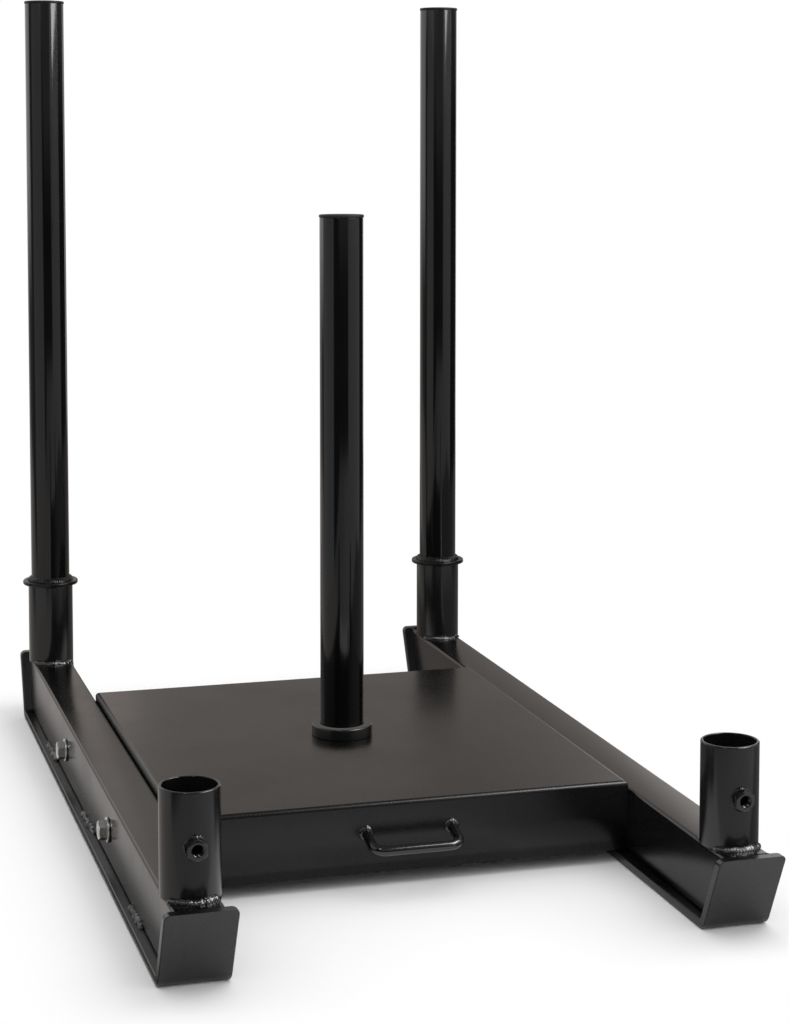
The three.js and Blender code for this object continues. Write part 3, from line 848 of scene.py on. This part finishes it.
def pull_handle():
    """The bent rod on the deck's front flange, with a bead round each leg."""
    y, count = DECK_Y - DECK_LENGTH / 2, 64
    piece("handle_rod", sweep(handle_path(), HANDLE_ROD, 32), HANDLE, "frame",
          ("pull_handle",), along(0, y, HANDLE_Z))
    angles = [2 * math.pi * k / count for k in range(count)]
    for number, x in enumerate((-HANDLE_HALF, HANDLE_HALF)):
        path = [(x + HANDLE_ROD * math.cos(a), y, HANDLE_Z + 1.02 * HANDLE_ROD * math.sin(a)) for a in angles]
        weld(f"handle_weld_{number}", path, from_level(x, HANDLE_Z), fixed(0, -1, -0.2), 3.0, BEAD,
             "frame", 51 + number, closed=True)


for side, sign in SIDES:
    runner(side, sign)
    for end, way in ENDS:
        socket(side, sign, end, way)
        plate_weld(side, sign, end, way)
    stitches(side, sign)
    for end, way in ENDS:
        rail_bolt(side, sign, end, way)
    push_post(side, sign)
    clamp_screw(side, sign)
deck_sheet()
weight_post()
weight_post_fixing()
pull_handle()


# Floor and world, with sizes in metres from here on

def plane(name, corners, material):
    """A flat face of the set."""
    mesh = bpy.data.meshes.new(name)
    mesh.from_pydata(corners, [], [list(range(len(corners)))])
    mesh.materials.append(material)
    obj = linked(name, mesh)
    return obj


def floor_material():
    """Near white, and for the camera plain white from 2 to 12 cm outside the part's footprint."""
    footprint = (0.305, 0.54, 0)
    material, tree, surface = bare_shader("floor")
    away = object_coords(tree)
    steps = (("ABSOLUTE", None), ("SUBTRACT", footprint), ("MAXIMUM", (0, 0, 0)), ("LENGTH", None))
    for operation, operand in steps:
        node = tree.nodes.new("ShaderNodeVectorMath")
        node.operation = operation
        if operand:
            node.inputs[1].default_value = operand
        tree.links.new(away, node.inputs[0])
        away = node.outputs["Value" if operation == "LENGTH" else "Vector"]
    far = mapped(tree, away, (0.02, 0.12), (0, 1))
    camera_ray = tree.nodes.new("ShaderNodeLightPath").outputs["Is Camera Ray"]
    white = tree.nodes.new("ShaderNodeEmission")
    matt = tree.nodes.new("ShaderNodeBsdfDiffuse")
    tint = blended(tree, noise_at(tree, scale=5.0), (0.96, 0.96, 0.96), (0.98, 0.98, 0.98))
    tree.links.new(tint, matt.inputs["Color"])
    mixed = tree.nodes.new("ShaderNodeMixShader")
    tree.links.new(combined(tree, "MULTIPLY", far, camera_ray), mixed.inputs["Fac"])
    tree.links.new(matt.outputs[0], mixed.inputs[1])
    tree.links.new(white.outputs[0], mixed.inputs[2])
    tree.links.new(mixed.outputs[0], surface)
    return material


def studio_world():
    """A white world, a little darker as a light than as it is seen."""
    world = bpy.data.worlds.new("studio")
    bpy.context.scene.world = world
    world.use_nodes = True
    tree = world.node_tree
    background = tree.nodes["Background"]
    rays = tree.nodes.new("ShaderNodeLightPath").outputs
    seen = combined(tree, "ADD", rays["Is Camera Ray"], rays["Is Glossy Ray"], clamp=True)
    seen = combined(tree, "ADD", seen, rays["Is Transmission Ray"], clamp=True)
    tree.links.new(mapped(tree, seen, (0, 1), (0.92, 1.0)), background.inputs["Strength"])
    background.inputs["Color"].default_value = (1, 1, 1, 1)


FLOOR_HALF = 14
plane("floor", [(-FLOOR_HALF, -FLOOR_HALF, 0), (FLOOR_HALF, -FLOOR_HALF, 0), (FLOOR_HALF, FLOOR_HALF, 0),
                (-FLOOR_HALF, FLOOR_HALF, 0)], floor_material())
studio_world()


# Lamps and cards

def lamp(name, place, aim, size, radiance):
    """A soft box of a given brightness, out of the camera's sight."""
    data = bpy.data.lights.new(name, "AREA")
    data.shape = "RECTANGLE"
    data.size, data.size_y = size
    data.energy = radiance * math.pi * size[0] * size[1]
    obj = linked(name, data)
    obj.location = place
    obj.rotation_mode = "QUATERNION"
    obj.rotation_quaternion = (Vector(aim) - Vector(place)).to_track_quat("-Z", "Y")
    obj.visible_camera = False
    return obj


def grey(level, warmth=0.0):
    return (level, level * (1 - 0.6 * warmth), level * (1 - warmth))


def flag(name, corners, low, high=None, fade=None):
    """A card seen only in gloss. Its colour is low, or it runs from low to high as fade says: an axis, where
    on it the colour is low and where it is high."""
    material, tree, surface = bare_shader(name)
    shine = tree.nodes.new("ShaderNodeEmission")
    if high:
        axis, start, end = fade
        split = tree.nodes.new("ShaderNodeSeparateXYZ")
        tree.links.new(object_coords(tree), split.inputs[0])
        share = mapped(tree, split.outputs[axis], (start, end), (0, 1))
        tree.links.new(blended(tree, share, low, high), shine.inputs["Color"])
    else:
        shine.inputs["Color"].default_value = (*low, 1)
    tree.links.new(shine.outputs[0], surface)
    obj = plane(name, corners, material)
    obj.visible_camera = False
    obj.visible_diffuse = False
    obj.visible_shadow = False
    obj.visible_transmission = False
    obj.visible_volume_scatter = False


def upright_card(name, a, b, top, low, high=None, fade=None):
    """A card from one point on the floor to another."""
    flag(name, [(*a, 0.0), (*b, 0.0), (*b, top), (*a, top)], low, high, fade)


def level_card(name, x_span, y_span, z, low, high=None, fade=None):
    """A level card over two spans."""
    (x0, x1), (y0, y1) = x_span, y_span
    flag(name, [(x0, y0, z), (x1, y0, z), (x1, y1, z), (x0, y1, z)], low, high, fade)


for name, place, size, radiance in (("key_box", (1.6, -0.85, 1.85), (1.9, 1.6), 11.0),
                                    ("glint_box", (-1.0, -1.2, 2.0), (0.6, 0.6), 8.0)):
    lamp(name, place, (0, 0, 0), size, radiance).visible_diffuse = False
for name, place, size, radiance in (("top_box", (1.0, -0.3, 2.3), (1.6, 2.0), 1.13),
                                    ("right_box", (2.2, 0.2, 1.3), (1.2, 1.0), 0.63),
                                    ("front_box", (0.3, -2.2, 1.6), (1.6, 1.0), 0.69)):
    lamp(name, place, (0, -0.2, 0), size, radiance).visible_glossy = False

# The upright cards stand round the part. These are corners of theirs, seen from above, and their heights
LEFT_REAR, LEFT_FRONT = (-0.88, 0.5), (-0.88, -0.6)
FRONT_LEFT, FRONT_RIGHT = (-1.3, -3.2), (1.22, -3.2)
RIGHT_MIDDLE, REAR_RIGHT, REAR_LEFT = (1.42, 0.02), (2.4, 2.4), (-2.0, 2.4)
LEFT_HIGH, RIGHT_HIGH, FRONT_HIGH, REAR_HIGH = 1.25, 1.4, 2.4, 2.6

upright_card("left_card", LEFT_REAR, LEFT_FRONT, LEFT_HIGH, grey(0.62))
upright_card("left_rear_card", (-1.5, 1.0), LEFT_REAR, LEFT_HIGH, grey(0.15))
upright_card("right_card", (1.2, -3.1), (1.4, 0.02), RIGHT_HIGH, grey(0.66))
for name, a, b in (("front_flag_left", LEFT_FRONT, FRONT_LEFT), ("front_flag", FRONT_LEFT, FRONT_RIGHT),
                   ("right_flag", RIGHT_MIDDLE, REAR_RIGHT)):
    upright_card(name, a, b, FRONT_HIGH, grey(0.03), grey(0.3), ("Z", 0.95, 1.4))
rear_y = REAR_RIGHT[1]
for name, x0, x1, low, high, fade in (
        ("rear_flag_far_right", REAR_RIGHT[0], 1.35, grey(0.46, 0.12), grey(1.26, 0.08), ("X", 1.35, 1.70)),
        ("rear_flag_right", 1.35, 0.9, grey(0.32, 0.16), grey(0.46, 0.12), ("X", 0.9, 1.35)),
        ("rear_flag", 0.9, 0.13, grey(0.36, 0.16), grey(0.5, 0.16), ("Z", 0.65, 0.92)),
        ("rear_flag_mid", 0.13, -0.45, grey(0.62, 0.16), None, None),
        ("rear_flag_left", -0.45, REAR_LEFT[0], grey(0.45, 0.1), grey(1.1), ("Z", 0.4, 0.9))):
    upright_card(name, (x0, rear_y), (x1, rear_y), REAR_HIGH, low, high, fade)
upright_card("left_flag", REAR_LEFT, (-1.6, 0.9), REAR_HIGH, grey(0.2, 0.1), grey(1.6), ("Z", 0.45, 0.8))
level_card("top_flag", (-2.5, 2.5), (-3.2, 2.6), 2.7, grey(0.2))

# The other level cards lie just over the floor, in two layers
WIDE, FRONT, REAR = 3.0, -0.62, 2.4
UNDER, OVER = 0.002, 0.004
level_card("floor_flag", (-WIDE, WIDE), (-3.2, FRONT), OVER, grey(0.46), grey(0.62), ("X", -0.4, 0.3))
level_card("floor_flag_left", (-WIDE, -0.42), (FRONT, REAR), OVER, grey(0.62, 0.13))
# Painted shadow: a strip seen only in gloss, dark at the left skid's edge and lighter outwards, stands in for
# the floor's shade beside the skid
level_card("painted_skid_shadow_strip", (-0.42, -0.306), (FRONT, 1.2), UNDER, grey(0.04), grey(0.66, 0.08),
           ("X", -0.307, -0.335))
# Painted shade: a strip seen only in gloss under the deck's front, darker towards the right rail's inner
# wall, stands in for the floor's shade beside the right runner
level_card("painted_runner_shade_strip", (0.12, 0.2345), (-0.6, -0.284), UNDER, grey(0.72), grey(0.36),
           ("X", 0.12, 0.2345))
level_card("floor_flag_rear", (-0.28, WIDE), (0.42, REAR), OVER, grey(0.25, 0.15))
level_card("floor_flag_right", (0.38, WIDE), (FRONT, 0.42), OVER, grey(0.2))


# Camera

camera = linked("camera", bpy.data.cameras.new("camera"))
bpy.context.scene.camera = camera
yaw, pitch, roll = math.radians(16.165), math.radians(-4.315), math.radians(0.017)
ahead = Vector((math.sin(yaw) * math.cos(pitch), math.cos(yaw) * math.cos(pitch), math.sin(pitch)))
right = Vector((math.cos(yaw), -math.sin(yaw), 0))
up = right.cross(ahead)
right, up = right * math.cos(roll) + up * math.sin(roll), up * math.cos(roll) - right * math.sin(roll)
turn = Matrix((right, up, -ahead)).transposed().to_4x4()
camera.matrix_world = Matrix.Translation((-0.65084, -2.4507, 0.77272)) @ turn
camera.data.sensor_width = 36
camera.data.lens = 78.07
camera.data.shift_x = 0.0056
camera.data.shift_y = -0.2

view = bpy.context.scene.view_settings
view.view_transform = "Standard"
